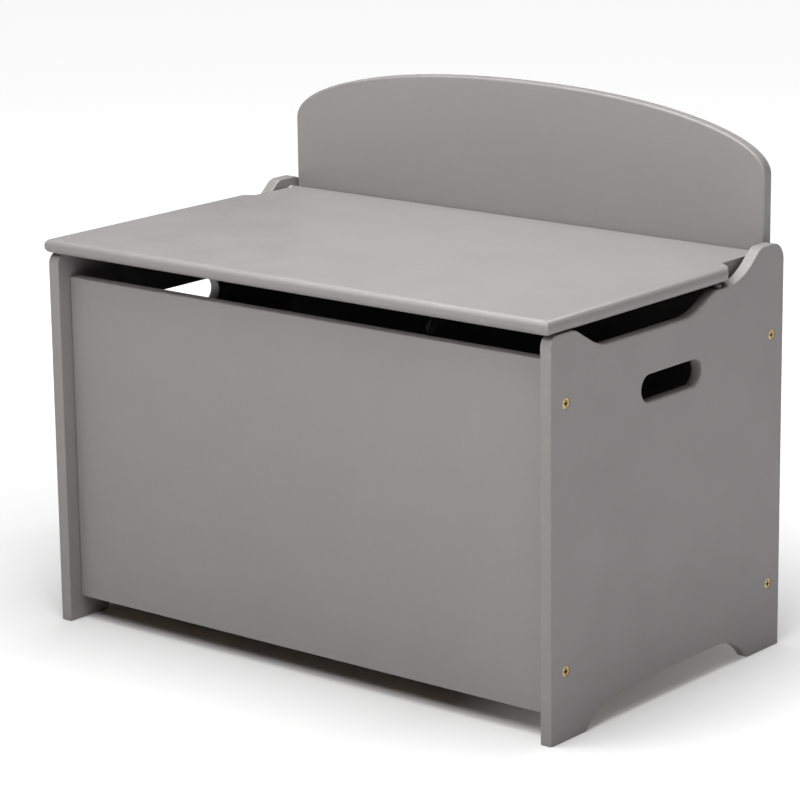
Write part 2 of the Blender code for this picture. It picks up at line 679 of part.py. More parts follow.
def pivot_at(obj, name, point):
    """Put an empty on a stay joint's axis and hang the piece on it."""
    empty = bpy.data.objects.new(name, None)
    empty.location = (0, *point)
    PARTS.objects.link(empty)
    HINGES[obj.name] = empty


def make_wall_bracket(panels, link_x, link_far, arm_x):
    """A folded bracket on the back panel, with an ear on each side of the damper."""
    rear = INSIDE_BACK - GAP
    front = rear - STAY_PLATE
    half = WALL_BRACKET_HALF
    far_ear = arm_x - GAP - DAMPER_WIDTH - GAP - STAY_PLATE
    bracket = board("stay_wall_bracket", (far_ear, front, ARM_ROOT[1] - half),
                    (link_far, rear, ARM_ROOT[1] + half), 0, "steel")
    deep = (front + rear) / 2
    ear = arc(ARM_ROOT, STAY_ROOT_END, 110, 250, 8)
    ear += [(deep, ARM_ROOT[1] - WALL_EAR_FOOT), (deep, ARM_ROOT[1] + WALL_EAR_FOOT)]
    shaft_hole = hole(ARM_ROOT, SHAFT_HOLE)
    modify(bracket, "UNION", plate("near_ear", [ear, shaft_hole], link_x))
    modify(bracket, "UNION", plate("far_ear", [ear], far_ear))
    for number, dz in ((1, -WALL_BRACKET_SCREWS), (2, WALL_BRACKET_SCREWS)):
        bore = pan_screw(f"stay_wall_screw_{number}", "-Y",
                         ((far_ear + link_far) / 2, front - GAP, ARM_ROOT[1] + dz))
        modify(bracket, "DIFFERENCE", bore)
        modify(panels["back_panel"], "DIFFERENCE", bore)


def make_damper(arm_x, link_far):
    """A rotary damper: a cup held by the bracket and a vaned rotor on the arm."""
    open_end = arm_x - GAP
    closed_end = open_end - DAMPER_WIDTH
    middle = ((open_end + closed_end) / 2, 0, 0)
    heel = INSIDE_BACK - GAP - STAY_PLATE - GAP
    flat = 10 * MM
    lift = math.degrees(math.asin(flat / DAMPER_RADIUS))
    cup_outline = arc(ARM_ROOT, DAMPER_RADIUS, lift, 360 - lift, 20)
    cup_outline += [(heel, ARM_ROOT[1] - flat), (heel, ARM_ROOT[1] + flat)]
    cup = outline("stay_damper_housing", [cup_outline], DAMPER_WIDTH, SIDE_PLANE, middle,
                  0.6 * MM, "black_nylon")
    cavity = DAMPER_RADIUS - DAMPER_WALL
    modify(cup, "DIFFERENCE", drill("damper_cavity", cavity, DAMPER_WIDTH - DAMPER_WALL,
                                    "+X", (open_end, *ARM_ROOT), 20))

    head, clear, hub = 5.5 * MM, 4.2 * MM, 8 * MM
    height = link_far + GAP - arm_x
    profile = [(0, height + 1.6 * MM), (head - 0.6 * MM, height + 1.6 * MM),
               (head, height + 1 * MM), (head, height), (clear, height),
               (clear, STAY_PLATE + GAP), (2.9 * MM, STAY_PLATE + GAP), (2.9 * MM, -GAP),
               (hub, -GAP), (hub, -DAMPER_WIDTH + DAMPER_WALL),
               (0, -DAMPER_WIDTH + DAMPER_WALL)]
    rotor = turned("stay_damper_rotor", profile, "+X", (arm_x, *ARM_ROOT), "steel")
    vane_high = arm_x - 2 * GAP
    vane_low = arm_x - DAMPER_WIDTH + DAMPER_WALL + GAP
    reach = cavity - 3 * GAP
    modify(rotor, "UNION", board("vane", (vane_low, ARM_ROOT[0] - reach, ARM_ROOT[1] - 2 * MM),
                                 (vane_high, ARM_ROOT[0] + reach, ARM_ROOT[1] + 2 * MM),
                                 0, None))
    key = STAY_KEY
    modify(rotor, "UNION", board("key", (arm_x - 0.1 * MM, ARM_ROOT[0] - key, ARM_ROOT[1] - key),
                                 (arm_x + STAY_PLATE + 0.4 * MM, ARM_ROOT[0] + key,
                                  ARM_ROOT[1] + key), 0, None))


def hang_on_axes():
    """Parent each moving piece to the empty on its joint's axis."""
    riders = {
        "lid": ["lid_panel", "lid_pivot_pin_left", "lid_pivot_pin_right", "stay_lid_bracket",
                "stay_lid_rivet", "stay_lid_screw_1", "stay_lid_screw_2"],
        "stay_arm": ["stay_arm", "stay_elbow_rivet", "stay_damper_rotor"],
        "stay_link": ["stay_link"],
    }
    bpy.context.view_layer.update()
    for joint, names in riders.items():
        for name in names:
            obj = bpy.data.objects[name]
            obj.parent = HINGES[joint]
            obj.matrix_parent_inverse = HINGES[joint].matrix_world.inverted()


def main():
    sides = make_side_panels()
    panels = make_carcass_boards()
    make_corner_joints(sides, panels)
    make_backrest(panels)
    lid = make_lid(sides)
    make_bumpers()
    make_stay(lid, panels)
    hang_on_axes()


main()
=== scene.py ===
import json
import math

import bmesh
import bpy
from mathutils import Matrix, Vector

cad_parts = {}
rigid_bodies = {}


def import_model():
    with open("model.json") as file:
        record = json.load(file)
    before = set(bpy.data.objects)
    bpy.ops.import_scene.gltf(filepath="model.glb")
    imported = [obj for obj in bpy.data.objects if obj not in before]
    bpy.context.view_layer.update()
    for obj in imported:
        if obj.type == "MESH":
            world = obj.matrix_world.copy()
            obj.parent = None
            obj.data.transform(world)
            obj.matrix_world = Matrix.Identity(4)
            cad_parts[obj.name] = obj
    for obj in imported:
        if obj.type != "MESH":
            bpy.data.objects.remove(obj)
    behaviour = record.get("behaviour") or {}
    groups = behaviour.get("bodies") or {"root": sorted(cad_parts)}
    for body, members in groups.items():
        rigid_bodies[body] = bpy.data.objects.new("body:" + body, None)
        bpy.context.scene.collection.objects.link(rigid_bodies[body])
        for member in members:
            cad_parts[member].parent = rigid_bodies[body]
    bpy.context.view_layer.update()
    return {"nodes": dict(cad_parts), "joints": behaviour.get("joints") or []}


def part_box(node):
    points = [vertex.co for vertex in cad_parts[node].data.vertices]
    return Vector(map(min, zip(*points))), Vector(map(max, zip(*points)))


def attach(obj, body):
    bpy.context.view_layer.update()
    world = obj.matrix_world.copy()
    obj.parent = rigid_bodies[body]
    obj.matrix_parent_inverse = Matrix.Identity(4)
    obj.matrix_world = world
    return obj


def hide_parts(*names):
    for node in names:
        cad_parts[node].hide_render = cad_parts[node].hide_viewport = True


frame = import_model()
MM = 0.001

# Places read from the frame
SIDE_LOW, SIDE_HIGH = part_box("right_side_panel")
LID_LOW, LID_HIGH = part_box("lid_panel")
REST_LOW, REST_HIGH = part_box("backrest_panel")
FRONT_PANEL_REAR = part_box("front_panel")[1].y
BACK_PANEL_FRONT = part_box("back_panel")[0].y
HALF = SIDE_HIGH.x
INNER = SIDE_LOW.x
BOARD = HALF - INNER
SIDE_MID_Y = (SIDE_LOW.y + SIDE_HIGH.y) / 2
JOINT_AT = {joint["name"]: Vector(joint["pos_m"]) for joint in frame["joints"]}
BOLTS = sorted(n for n in frame["nodes"] if n.startswith("side_bolt"))

# Shapes that boxes don't give, the same as the CAD model's
GAP = 0.3 * MM
BOARD_EDGE = 1.5 * MM
REST_EDGE = 2.5 * MM
LID_EDGE = 6.2 * MM
FRONT_TOP = 374.0 * MM
DIP_FLOOR = 352.1 * MM
REAR_TOP = 370.0 * MM
FRONT_CORNER, EAR_CORNER = 11 * MM, 17 * MM
# Each curve of the top edge: where it starts, slope, first and last radius
DIP_DOWN = (30.3 * MM, 30, 20 * MM, 60 * MM)
DIP_UP = (203.6 * MM, 26, 60 * MM, 20 * MM)
EAR_UP = (269.0 * MM, 42, 70 * MM, 17 * MM)
ARCH_HALF, ARCH_HEIGHT, ARCH_RADIUS = 131 * MM, 25.2 * MM, 68 * MM
SLOT_LENGTH, SLOT_HEIGHT, SLOT_Z = 95.5 * MM, 26 * MM, 299 * MM
LID_NOTCH_DEPTH = 66 * MM
LID_NARROW = INNER - 3.55 * MM
LID_SWEEP, LID_SWEEP_START = 58 * MM, 62
LID_REAR_EDGE = 2.5 * MM
REST_SHOULDER = 459.5 * MM
REST_POWER = 2.1
# Countersunk fasteners: shank radius, head radius, head depth
BOLT_SIZES = (3 * MM, 5.2 * MM, 2.8 * MM)
SCREW_SIZES = (2 * MM, 4 * MM, 2.2 * MM)
# Cross recesses: half width, depth
BOLT_RECESS = (3.7 * MM, 2.2 * MM)
SCREW_RECESS = (2.2 * MM, 1.6 * MM)
PAN_RECESS = (1.8 * MM, 1.2 * MM)
# Stay: end radii of its plates, rivet's shank, plates' thickness, their eased edges
STAY_END, STAY_ROOT_END, STAY_RIVET = 7 * MM, 9 * MM, 2.5 * MM
STAY_PLATE = 2 * MM
STAY_EDGE, BRACKET_EDGE = 0.25 * MM, 0.3 * MM
BUSH_BORE, SHAFT_HOLE = 4.8 * MM, 4.6 * MM      # radii
KEYWAY_HALF = 3.3 * MM
LID_EAR_SHOULDER, WALL_EAR_FOOT = 12 * MM, 17 * MM
DAMPER_WALL, DAMPER_FLAT = 3 * MM, 10 * MM
MERGE_DISTANCE = 0.01 * MM

# Planes that outlines are drawn in: local x, y and the thickness direction
SIDE_PLANE = Matrix(((0, 0, 1), (1, 0, 0), (0, 1, 0))).to_4x4()
BACK_PLANE = Matrix(((1, 0, 0), (0, 0, -1), (0, 1, 0))).to_4x4()
LEVEL_PLANE = Matrix.Identity(4)
AXIS = {
    "+X": Matrix.Rotation(math.pi / 2, 4, "Y"),
    "-X": Matrix.Rotation(-math.pi / 2, 4, "Y"),
    "+Y": Matrix.Rotation(-math.pi / 2, 4, "X"),
    "-Y": Matrix.Rotation(math.pi / 2, 4, "X"),
    "+Z": Matrix.Identity(4),
    "-Z": Matrix.Rotation(math.pi, 4, "X"),
}

# Camera, at the photograph's viewing angle
AZIMUTH, ELEVATION, ROLL = 39.43, 14.297, -0.721
CAMERA_DISTANCE = 3.2035
CAMERA_TARGET = Vector((-0.0008, -0.0148, 0.2381))
CAMERA_LENS = 149.585

# Lights and floor
WORLD_STRENGTH = 0.01
# Name, azimuth, elevation, angle across, strength
SUNS = (("fill_behind", 180, 60, 60, 0.18),)
# Name, place, point it faces, width, height, power
SOFTBOXES = (
    ("overhead", (0, -0.2, 1.7), (0, 0, 0.4), 1.2, 1.2, 36.5),
    ("high_left", (-0.3, -0.9, 1.15), (0, 0.17, 0.45), 0.7, 0.5, 5.0),
    ("high_right", (0.5, -0.9, 1.15), (0, 0.17, 0.45), 0.7, 0.5, 6.2),
)
FLOOR = (0.68, 0.68, 0.68)
# Painted light: the floor glows, brightening away from this place, from one distance to the other
FLOOR_MIDDLE = (-0.2, -0.15, 0)
FLOOR_GLOW_FROM, FLOOR_GLOW_TO, FLOOR_GLOW = 0.36, 1.25, 0.82


# ---------------------------------------------------------------- materials

class Graph:
    """A material's node tree with short calls for the nodes that repeat."""

    def __init__(self, name, roughness=0.5, metallic=0.0):
        self.material = bpy.data.materials.new(name)
        self.material.use_nodes = True
        self.tree = self.material.node_tree
        self.shader = self.tree.nodes["Principled BSDF"]
        self.set("Roughness", roughness)
        self.set("Metallic", metallic)
        self.place = self.tree.nodes.new("ShaderNodeTexCoord").outputs["Object"]

    def set(self, socket, value):
        self.shader.inputs[socket].default_value = value

    def link(self, output, node_input):
        self.tree.links.new(output, node_input)

    def moved(self, offset=(0, 0, 0), scale=(1, 1, 1)):
        """Object coordinates, shifted and stretched."""
        node = self.tree.nodes.new("ShaderNodeMapping")
        node.inputs["Location"].default_value = offset
        node.inputs["Scale"].default_value = scale
        self.link(self.place, node.inputs["Vector"])
        return node.outputs["Vector"]

    def noise(self, vector, scale, detail=2.0, rough=0.5):
        node = self.tree.nodes.new("ShaderNodeTexNoise")
        node.inputs["Scale"].default_value = scale
        node.inputs["Detail"].default_value = detail
        node.inputs["Roughness"].default_value = rough
        self.link(vector, node.inputs["Vector"])
        return node.outputs["Fac"]

    def spread(self, value, low, high, source=(0.3, 0.7)):
        """A value mapped from the source range to another."""
        node = self.tree.nodes.new("ShaderNodeMapRange")
        node.inputs["From Min"].default_value = source[0]
        node.inputs["From Max"].default_value = source[1]
        node.inputs["To Min"].default_value = low
        node.inputs["To Max"].default_value = high
        self.link(value, node.inputs["Value"])
        return node.outputs["Result"]

    def math(self, operation, first, second):
        node = self.tree.nodes.new("ShaderNodeMath")
        node.operation = operation
        for socket, value in zip(node.inputs, (first, second)):
            if isinstance(value, (int, float)):
                socket.default_value = value
            else:
                self.link(value, socket)
        return node.outputs["Value"]

    def mix(self, factor, first, second, blend="MIX"):
        node = self.tree.nodes.new("ShaderNodeMix")
        node.data_type = "RGBA"
        node.blend_type = blend
        colours = [s for s in node.inputs if s.type == "RGBA"]
        sockets = (node.inputs["Factor"], colours[0], colours[1])
        for socket, value in zip(sockets, (factor, first, second)):
            if isinstance(value, tuple):
                socket.default_value = (*value, 1)
            elif isinstance(value, (int, float)):
                socket.default_value = value
            else:
                self.link(value, socket)
        return next(o for o in node.outputs if o.type == "RGBA")

    def ramp(self, value, stops):
        node = self.tree.nodes.new("ShaderNodeValToRGB")
        steps = node.color_ramp.elements
        while len(steps) < len(stops):
            steps.new(0.5)
        for step, (position, colour) in zip(steps, stops):
            step.position = position
            step.color = (*colour, 1)
        self.link(value, node.inputs["Fac"])
        return node.outputs["Color"]

    def attribute(self, name):
        node = self.tree.nodes.new("ShaderNodeAttribute")
        node.attribute_name = name
        return node.outputs["Fac"]

    def bump(self, height, strength, distance, under=None):
        node = self.tree.nodes.new("ShaderNodeBump")
        node.inputs["Strength"].default_value = strength
        node.inputs["Distance"].default_value = distance
        self.link(height, node.inputs["Height"])
        if under is not None:
            self.link(under, node.inputs["Normal"])
        return node.outputs["Normal"]

    def colour(self, output):
        self.link(output, self.shader.inputs["Base Color"])

    def rough(self, output):
        self.link(output, self.shader.inputs["Roughness"])

    def normal(self, output):
        self.link(output, self.shader.inputs["Normal"])


def shade(colour, factor):
    return tuple(c * factor for c in colour)


PAINT = (0.227, 0.216, 0.2145)
PAINT_WORN = (0.33, 0.32, 0.31)


def paint(name, seed):
    """Satin grey paint sprayed on smooth fibreboard; its cut edges are a little rougher."""
    graph = Graph(name)
    place = graph.moved(offset=(seed * 1.7, seed * 0.9, seed * 2.3))
    clouds = graph.noise(place, 5, 3, 0.55)
    mottle = graph.noise(place, 140, 3, 0.6)
    base = graph.ramp(clouds, [(0.3, shade(PAINT, 0.975)), (0.7, shade(PAINT, 1.02))])
    fleck = graph.ramp(mottle, [(0.3, (0.975, 0.975, 0.98)), (0.7, (1.0, 1.0, 1.0))])
    tone = graph.mix(1.0, base, fleck, "MULTIPLY")
    edge = graph.attribute("edge")
    patches = graph.spread(graph.noise(place, 60, 4, 0.7), 0.0, 1.0, (0.56, 0.74))
    worn = graph.math("MULTIPLY", graph.math("MULTIPLY", edge, patches), 0.3)
    tone = graph.mix(worn, tone, PAINT_WORN)
    graph.colour(tone)
    satin = graph.spread(graph.noise(place, 22, 3, 0.6), 0.40, 0.50)
    graph.rough(graph.math("ADD", satin, graph.math("MULTIPLY", edge, 0.04)))
    peel = graph.noise(place, 650, 2, 0.5)
    fibre = graph.noise(place, 1900, 3, 0.7)
    height = graph.math("ADD", peel, graph.math("MULTIPLY", graph.math("MULTIPLY", fibre, edge), 0.7))
    slow = graph.bump(graph.noise(place, 28, 2, 0.4), 0.05, 0.6 * MM)
    graph.normal(graph.bump(height, 0.12, 0.12 * MM, slow))
    return graph.material


def timber(name, along, light, dark):
    """Bare wood whose grain runs along one axis."""
    graph = Graph(name)
    scale = [70.0, 70.0, 70.0]
    scale[along] = 4.0
    place = graph.moved(scale=tuple(scale))
    rings = graph.noise(place, 2.2, 5, 0.62)
    pores = graph.noise(graph.moved(scale=tuple(s * 6 for s in scale)), 1.5, 3, 0.6)
    tone = graph.ramp(rings, [(0.32, dark), (0.55, light), (0.75, shade(light, 1.12))])
    tone = graph.mix(0.35, tone, graph.ramp(pores, [(0.42, shade(dark, 0.7)), (0.6, light)]))
    graph.colour(tone)
    graph.rough(graph.spread(rings, 0.6, 0.78))
    graph.normal(graph.bump(pores, 0.25, 0.15 * MM))
    return graph.material


def plated(name, tones, roughness, grain):
    """Plated steel with faint colour drift, drawn marks and small dull spots."""
    graph = Graph(name, metallic=1.0)
    place = graph.moved()
    drift = graph.noise(place, 160, 3, 0.6)
    graph.colour(graph.ramp(drift, [(0.3, tones[0]), (0.5, tones[1]), (0.7, tones[2])]))
    marks = graph.noise(graph.moved(scale=grain), 900, 2, 0.6)
    spots = graph.noise(place, 420, 4, 0.7)
    graph.rough(graph.spread(spots, roughness - 0.06, roughness + 0.14))
    graph.normal(graph.bump(marks, 0.1, 0.05 * MM))
    return graph.material


def moulded(name, colour, roughness, subsurface=0.0):
    """Moulded nylon or soft pad material with a fine spark-eroded texture."""
    graph = Graph(name)
    place = graph.moved()
    drift = graph.noise(place, 60, 2, 0.5)
    graph.colour(graph.ramp(drift, [(0.3, shade(colour, 0.93)), (0.7, shade(colour, 1.06))]))
    texture = graph.noise(place, 2600, 3, 0.6)
    graph.rough(graph.spread(texture, roughness - 0.04, roughness + 0.06))
    graph.normal(graph.bump(texture, 0.2, 0.04 * MM))
    if subsurface:
        graph.set("Subsurface Weight", subsurface)
        graph.set("Subsurface Radius", (0.003, 0.003, 0.003))
    return graph.material


BRASS = plated("yellow_zinc", [(0.30, 0.20, 0.09), (0.46, 0.33, 0.15), (0.55, 0.43, 0.24)],
               0.34, (1, 1, 1))
STEEL = plated("bright_zinc", [(0.52, 0.53, 0.55), (0.62, 0.62, 0.63), (0.66, 0.66, 0.66)],
               0.32, (0.05, 1, 1))
NYLON_BLACK = moulded("black_nylon", (0.022, 0.022, 0.024), 0.42)
NYLON_WHITE = moulded("white_nylon", (0.78, 0.78, 0.75), 0.4, 0.15)
# Painted shade: the clear rubber pads are coloured near black so that they disappear into the shade
# of the gap under the lid
SHADE_DARK_PAD = moulded("pad_painted_shade", (0.10, 0.10, 0.098), 0.45)
BEECH = ((0.60, 0.42, 0.26), (0.47, 0.31, 0.18))
PINE = ((0.66, 0.48, 0.28), (0.50, 0.33, 0.17))


# ------------------------------------------------------------------- shapes

def arc(centre, radius, start, end, count):
    """Points along an arc, angles in degrees."""
    angles = [math.radians(start + (end - start) * i / count) for i in range(count + 1)]
    return [(centre[0] + radius * math.cos(a), centre[1] + radius * math.sin(a)) for a in angles]


def hole(centre, radius, count=40):
    """A round hole's outline, clockwise."""
    return arc(centre, radius, 360, 360 / count, count - 1)


def stadium(centre, length, height, count=24):
    """A slot with round ends, anticlockwise."""
    reach = length / 2 - height / 2
    right = arc((centre[0] + reach, centre[1]), height / 2, -90, 90, count)
    left = arc((centre[0] - reach, centre[1]), height / 2, 90, 270, count)
    return right + left


def ogee(shape, level, end_level, count=14):
    """An S of a side panel's top, towards the rear: arc, straight run, arc."""
    start, slope, first, last = shape
    start += SIDE_LOW.y
    angle = math.radians(slope)
    sign = 1 if end_level > level else -1
    straight = abs(end_level - level) - (first + last) * (1 - math.cos(angle))
    end = start + (first + last) * math.sin(angle) + straight / math.tan(angle)
    turn = [angle * i / count for i in range(count + 1)]
    lower = [(start + first * math.sin(a), level + sign * first * (1 - math.cos(a)))
             for a in turn]
    upper = [(end - last * math.sin(a), end_level - sign * last * (1 - math.cos(a)))
             for a in reversed(turn)]
    return lower + upper


def side_outline():
    """A side panel in (y, z), anticlockwise from the front foot."""
    front, rear, ear_top = SIDE_LOW.y, SIDE_HIGH.y, SIDE_HIGH.z
    run = math.sqrt(ARCH_RADIUS ** 2 - (ARCH_RADIUS - ARCH_HEIGHT) ** 2)
    sweep = math.degrees(math.asin(run / ARCH_RADIUS))
    crown, reach = ARCH_HEIGHT - ARCH_RADIUS, ARCH_HALF - run
    points = [(front, 0)]
    points += arc((SIDE_MID_Y - reach, crown), ARCH_RADIUS, 90 + sweep, 90, 20)
    points += arc((SIDE_MID_Y + reach, crown), ARCH_RADIUS, 90, 90 - sweep, 20)
    points.append((rear, 0))
    points += arc((rear - EAR_CORNER, ear_top - EAR_CORNER), EAR_CORNER, 0, 90, 18)
    top = ogee(DIP_DOWN, FRONT_TOP, DIP_FLOOR)
    top += ogee(DIP_UP, DIP_FLOOR, REAR_TOP)
    top += ogee(EAR_UP, REAR_TOP, ear_top)
    points += reversed(top)
    points += arc((front + FRONT_CORNER, FRONT_TOP - FRONT_CORNER), FRONT_CORNER, 90, 180, 14)
    return points


def lid_corner():
    """Plan of what is cut from the lid beside the right ear, anticlockwise."""
    half, notch = LID_HIGH.x, LID_HIGH.y - LID_NOTCH_DEPTH
    over, past = 20 * MM, 1 * MM
    start = math.radians(LID_SWEEP_START)
    centre = (LID_NARROW - LID_SWEEP * math.cos(start), notch - LID_SWEEP * math.sin(start))
    end = math.degrees(math.acos((half + past - centre[0]) / LID_SWEEP))
    sweep = arc(centre, LID_SWEEP, LID_SWEEP_START, end, 20)
    return sweep + [(half + over, sweep[-1][1]), (half + over, LID_HIGH.y + over),
                    (LID_NARROW, LID_HIGH.y + over)]


def lid_rear_section():
    """What is cut off behind the lid's rounded rear edge, in (y, z)."""
    low, high, inset = LID_LOW.z, LID_HIGH.z, LID_HIGH.y - LID_REAR_EDGE
    upper = arc((inset, high - LID_REAR_EDGE), LID_REAR_EDGE, 90, 0, 8)
    lower = arc((inset, low + LID_REAR_EDGE), LID_REAR_EDGE, 0, -90, 8)
    over = 20 * MM
    above = (2 * upper[0][0] - upper[1][0], 2 * upper[0][1] - upper[1][1])
    below = (2 * lower[-1][0] - lower[-2][0], 2 * lower[-1][1] - lower[-2][1])
    return [above, *upper, *lower, below, (LID_HIGH.y + over, below[1]),
            (LID_HIGH.y + over, above[1])]


def backrest_outline():
    """The backrest in (x, z): straight sides under a superellipse."""
    half, rise, count = REST_HIGH.x, REST_HIGH.z - REST_SHOULDER, 160
    points = [(-half, REST_LOW.z), (half, REST_LOW.z)]
    for i in range(count + 1):
        angle = math.pi * i / count
        across = abs(math.cos(angle)) ** (2 / REST_POWER)
        up = math.sin(angle) ** (2 / REST_POWER)
        points.append((math.copysign(half * across, math.cos(angle)),
                       REST_SHOULDER + rise * up))
    return points


def tapered_plate(first, second, radius_first, radius_second, count=20):
    """Outline of a flat lever between two round ends, anticlockwise."""
    along = Vector(second) - Vector(first)
    heading = math.degrees(math.atan2(along.y, along.x))
    lean = math.degrees(math.asin((radius_first - radius_second) / along.length))
    far = arc(second, radius_second, heading - 90 + lean, heading + 90 - lean, count)
    near = arc(first, radius_first, heading + 90 - lean, heading + 270 + lean, count)
    return far + near


# ------------------------------------------------------------ mesh builders

CUTTERS = bpy.data.collections.new("cutters")
bpy.context.scene.collection.children.link(CUTTERS)


def add_object(name, mesh, matrix, hidden):
    obj = bpy.data.objects.new(name, mesh)
    obj.matrix_world = matrix
    group = CUTTERS if hidden else bpy.context.scene.collection
    group.objects.link(obj)
    if hidden:
        obj.hide_render = True
        obj.display_type = "WIRE"
    return obj


def outlined(name, loops, thickness, plane, middle, edge=0.0, steps=4, hidden=False):
    """A flat board or plate from closed outlines, with rounded edges all round."""
    curve = bpy.data.curves.new(name + "_outline", "CURVE")
    curve.dimensions = "2D"
    curve.fill_mode = "BOTH"
    curve.extrude = thickness / 2 - edge
    curve.bevel_depth = edge
    curve.bevel_resolution = steps
    curve.offset = -edge
    for points in loops:
        spline = curve.splines.new("POLY")
        spline.points.add(len(points) - 1)
        for point, (px, py) in zip(spline.points, points):
            point.co = (px, py, 0, 1)
        spline.use_cyclic_u = True
    guide = add_object(name + "_guide", curve, Matrix.Identity(4), True)
    graph = bpy.context.evaluated_depsgraph_get()
    mesh = bpy.data.meshes.new_from_object(guide.evaluated_get(graph))
    bpy.data.objects.remove(guide, do_unlink=True)
    weld = bmesh.new()
    weld.from_mesh(mesh)
    bmesh.ops.remove_doubles(weld, verts=weld.verts, dist=MERGE_DISTANCE)
    bmesh.ops.recalc_face_normals(weld, faces=weld.faces)
    weld.to_mesh(mesh)
    weld.free()
    mark_edge(mesh, 2, thickness / 2)
    return add_object(name, mesh, Matrix.Translation(middle) @ plane, hidden)


def mark_edge(mesh, axis, half):
    """Store 1 on the cut edges of a board and 0 on its two faces."""
    marks = mesh.attributes.new("edge", "FLOAT", "POINT")
    for vertex, mark in zip(mesh.vertices, marks.data):
        mark.value = 0.0 if abs(vertex.co[axis]) > half - 0.00002 else 1.0


def board(name, low, high, edge, across=1):
    """A rectangular board with rounded edges; across is its thickness axis."""
    low, high = Vector(low), Vector(high)
    shape = bmesh.new()
    bmesh.ops.create_cube(shape, size=1.0)
    bmesh.ops.scale(shape, vec=high - low, verts=shape.verts)
    bmesh.ops.bevel(shape, geom=shape.edges, offset=edge, segments=5, profile=0.5,
                    affect="EDGES")
    mesh = bpy.data.meshes.new(name)
    shape.to_mesh(mesh)
    shape.free()
    mark_edge(mesh, across, (high - low)[across] / 2)
    return add_object(name, mesh, Matrix.Translation((low + high) / 2), False)


def turned(name, profile, axis, middle, segments=48, hidden=False):
    """A turned piece: (radius, height) pairs run down its outer side."""
    mesh = bpy.data.meshes.new(name)
    edges = [(i, i + 1) for i in range(len(profile) - 1)]
    mesh.from_pydata([(r, 0, h) for r, h in profile], edges, [])
    obj = add_object(name, mesh, Matrix.Translation(middle) @ AXIS[axis], hidden)
    screw = obj.modifiers.new("turn", "SCREW")
    screw.axis = "Z"
    screw.steps = segments
    screw.render_steps = segments
    screw.use_merge_vertices = True
    screw.merge_threshold = MERGE_DISTANCE
    return obj


def modify(obj, operation, tool):
    mod = obj.modifiers.new(tool.name, "BOOLEAN")
    mod.operation = operation
    mod.solver = "EXACT"
    mod.object = tool


def settle(obj, angle=35):
    """Apply the modifiers and shade smooth, with flat faces kept flat."""
    graph = bpy.context.evaluated_depsgraph_get()
    mesh = bpy.data.meshes.new_from_object(obj.evaluated_get(graph))
    obj.modifiers.clear()
    obj.data = mesh
    mesh.shade_smooth()
    mesh.set_sharp_from_angle(angle=math.radians(angle))
    weighted = obj.modifiers.new("flat_faces", "WEIGHTED_NORMAL")
    weighted.keep_sharp = True
    weighted.weight = 100
    return obj


def show(obj, body, material, slot, *nodes):
    """Finish a piece: its mesh, material, body and the CAD nodes that it stands for."""
    settle(obj)
    obj.data.materials.clear()
    obj.data.materials.append(material)
    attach(obj, body)
    if nodes:
        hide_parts(*nodes)
    return obj


def cross_recess(name, axis, middle, size, depth):
    """A tapered cross, sunk into a screw's head."""
    tip, root = size * 0.24, size * 0.32
    points = []
    for turn in range(4):
        spin = Matrix.Rotation(turn * math.pi / 2, 2)
        points += [tuple(spin @ Vector(p)) for p in ((size, -tip), (size, tip), (root, root))]
    over = 1 * MM
    tool = outlined(name, [points], depth + over, LEVEL_PLANE, (0, 0, 0), hidden=True)
    for vertex in tool.data.vertices:
        if vertex.co.z < 0:
            vertex.co.x *= 0.6
            vertex.co.y *= 0.6
    shift = Matrix.Translation((0, 0, (over - depth) / 2))
    tool.matrix_world = Matrix.Translation(middle) @ AXIS[axis] @ shift
    return tool


def countersunk(radius, head, head_depth, length):
    """Profile of a countersunk screw from the middle of its head's face."""
    land, ease, tip = 0.5 * MM, 0.25 * MM, 0.8 * MM
    return [(0, 0), (head - ease, 0), (head - ease * 0.3, -ease * 0.3), (head, -ease),
            (head, -land), (radius, -head_depth), (radius, -length + tip),
            (radius - tip, -length), (0, -length)]


def sunk_bore(radius, head, head_depth, length):
    """Profile of the hole for a countersunk screw."""
    over = 1 * MM
    return [(0, over), (head + GAP, over), (head + GAP, -0.6 * MM),
            (radius + GAP, -head_depth - GAP / 2), (radius + GAP, -length), (0, -length)]


def at_node(node, axis):
    """Middle of a turned node's end face, on the side that the axis points to."""
    low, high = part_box(node)
    middle = (low + high) / 2
    index = "XYZ".index(axis[1])
    middle[index] = high[index] if axis[0] == "+" else low[index]
    return middle


# ------------------------------------------------------------------- pieces

def recessed_screw(name, axis, head_at, sizes, length, recess, depth):
    """A countersunk screw with a cross recess, and the cutter for its hole."""
    screw = turned(name, countersunk(*sizes, length), axis, head_at)
    modify(screw, "DIFFERENCE", cross_recess(name + "_recess", axis, head_at, recess, depth))
    bore = turned(name + "_bore", sunk_bore(*sizes, length + GAP), axis, head_at, hidden=True)
    return screw, bore


def drill(name, radius, depth, axis, mouth):
    """A cutter for a round hole, from its mouth inwards against the axis."""
    over = 1 * MM
    profile = [(0, over), (radius, over), (radius, -depth), (0, -depth)]
    return turned(name, profile, axis, mouth, hidden=True)


def make_boards():
    """Side, front and back boards with the holes for bolts, nuts and dowels."""
    boards = {}
    loops = [side_outline(),
             list(reversed(stadium((SIDE_MID_Y, SLOT_Z), SLOT_LENGTH, SLOT_HEIGHT)))]
    for side, sign in (("left", -1), ("right", 1)):
        middle = (sign * (HALF - BOARD / 2), 0, 0)
        boards[side] = outlined(side + "_side_board", loops, BOARD, SIDE_PLANE, middle,
                                BOARD_EDGE, 5)
    for name in ("front_panel", "back_panel"):
        boards[name] = board(name.replace("panel", "board"), *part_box(name), BOARD_EDGE)
    for number, node in enumerate(BOLTS, 1):
        fit_bolt(number, node, boards)
    return boards


